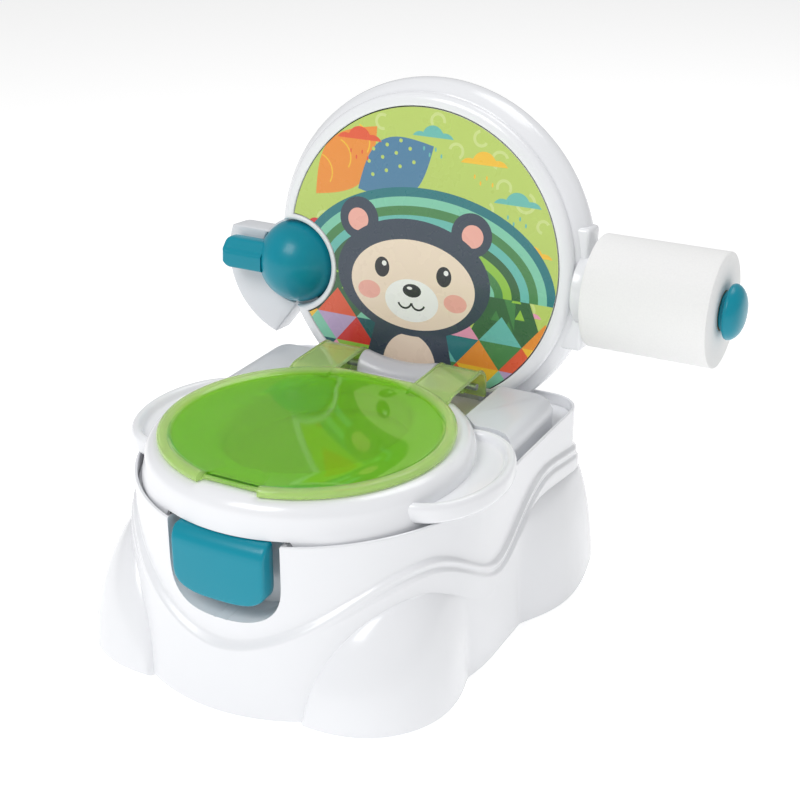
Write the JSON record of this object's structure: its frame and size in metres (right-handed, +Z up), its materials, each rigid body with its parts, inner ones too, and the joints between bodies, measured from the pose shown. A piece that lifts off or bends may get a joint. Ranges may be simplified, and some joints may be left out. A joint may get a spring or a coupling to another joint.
{
  "type": "potty training chair",
  "caption": "Toddler potty chair: pawed base with lift-out bowl, seat ring with side grips, see-through lid, and a round back panel with flush lever and paper roll.",
  "frame": {"origin": "centre of the bounding box's bottom face, on the floor", "axes": "+Z up, -Y the front where the child sits down, +X towards the paper roll"},
  "size_m": [0.4824, 0.4066, 0.4042],
  "materials": {
    "white_shell": "glossy injection-moulded polypropylene",
    "soft_white": "satin moulded polypropylene",
    "teal": "glossy coloured polypropylene",
    "clear_green": "polished see-through tinted plastic",
    "print": "printed film under a gloss coat",
    "paper": "soft embossed tissue",
    "card": "raw wound card",
    "rubber": "matte grey rubber",
    "steel": "bright zinc-plated steel",
    "board": "green solder mask",
    "dark": "matte dark plastic",
    "cell": "plain wrapped steel can"
  },
  "bodies": {
    "base": {"base_shell": "white_shell", "panel_back_cover": "white_shell", "deck_frame": "white_shell", "panel_bezel": "white_shell", "rear_deck": "soft_white", "speaker": "dark", "art_panel": "print", "lever_spring": "steel", "battery_1": "cell", "battery_2": "cell", "battery_3": "cell", "panel_screw_1": "steel", "panel_screw_2": "steel", "panel_screw_3": "steel", "panel_screw_4": "steel", "foot_pad_1": "rubber", "foot_pad_2": "rubber", "foot_pad_3": "rubber", "foot_pad_4": "rubber", "deck_screw_1": "steel", "deck_screw_2": "steel", "deck_screw_3": "steel", "deck_screw_4": "steel", "rear_deck_screw_1": "steel", "rear_deck_screw_2": "steel", "rear_deck_screw_3": "steel", "rear_deck_screw_4": "steel", "plug_screw_1": "steel", "plug_screw_2": "steel", "battery_tray": "dark", "circuit_board": "board", "sound_chip": "dark", "lever_switch": "dark"},
    "seat": {"seat_ring": "white_shell", "hinge_block": "soft_white", "hinge_pin": "steel", "ring_stop_1": "rubber", "ring_stop_2": "rubber", "ring_stop_3": "rubber", "ring_stop_4": "rubber"},
    "lid": {"lid": "clear_green"},
    "bowl": {"potty_bowl": "white_shell", "bowl_grip": "teal"},
    "lever": {"lever_dome": "teal", "lever_bar": "teal", "lever_cam": "white_shell", "lever_clip": "steel"},
    "spindle": {"spindle_shaft": "teal", "spindle_knob": "teal"},
    "roll": {"paper_roll": "paper", "core_tube": "card"},
    "switch": {"power_switch": "teal"},
    "battery_hatch": {"battery_door": "white_shell", "battery_door_screw": "steel"}
  },
  "joints": [
    {"name": "seat_lift", "type": "slide", "parent": "base", "child": "seat", "axis": [0, 0, 1], "range_m": [0, 0.2]},
    {"name": "lid_hinge", "type": "hinge", "parent": "seat", "child": "lid", "pos_m": [-0.03832, 0.09534, 0.164], "axis": [-1, 0, 0], "range_deg": [0, 95]},
    {"name": "bowl_lift", "type": "slide", "parent": "base", "child": "bowl", "axis": [0, 0, 1], "range_m": [0, 0.1]},
    {"name": "flush_turn", "type": "hinge", "parent": "base", "child": "lever", "pos_m": [-0.16632, 0.14533, 0.23082], "axis": [0, -0.9969, 0.0785], "range_deg": [0, 45], "stiffness_Nm_per_rad": 0.25, "springref_deg": -20.05},
    {"name": "spindle_pull", "type": "slide", "parent": "base", "child": "spindle", "axis": [1, 0, 0], "range_m": [0, 0.12]},
    {"name": "roll_spin", "type": "hinge", "parent": "spindle", "child": "roll", "pos_m": [0.17068, 0.15534, 0.246], "axis": [1, 0, 0], "continuous": true},
    {"name": "switch_slide", "type": "slide", "parent": "base", "child": "switch", "axis": [1, 0, 0], "range_m": [-0.0035, 0.0035]},
    {"name": "hatch_pull", "type": "slide", "parent": "base", "child": "battery_hatch", "axis": [0, 0.9969, -0.0785], "range_m": [0, 0.03]}
  ],
  "couplings": [
    {"joint": "bowl_lift", "follows": "seat_lift", "ratio": 0.5}
  ]
}
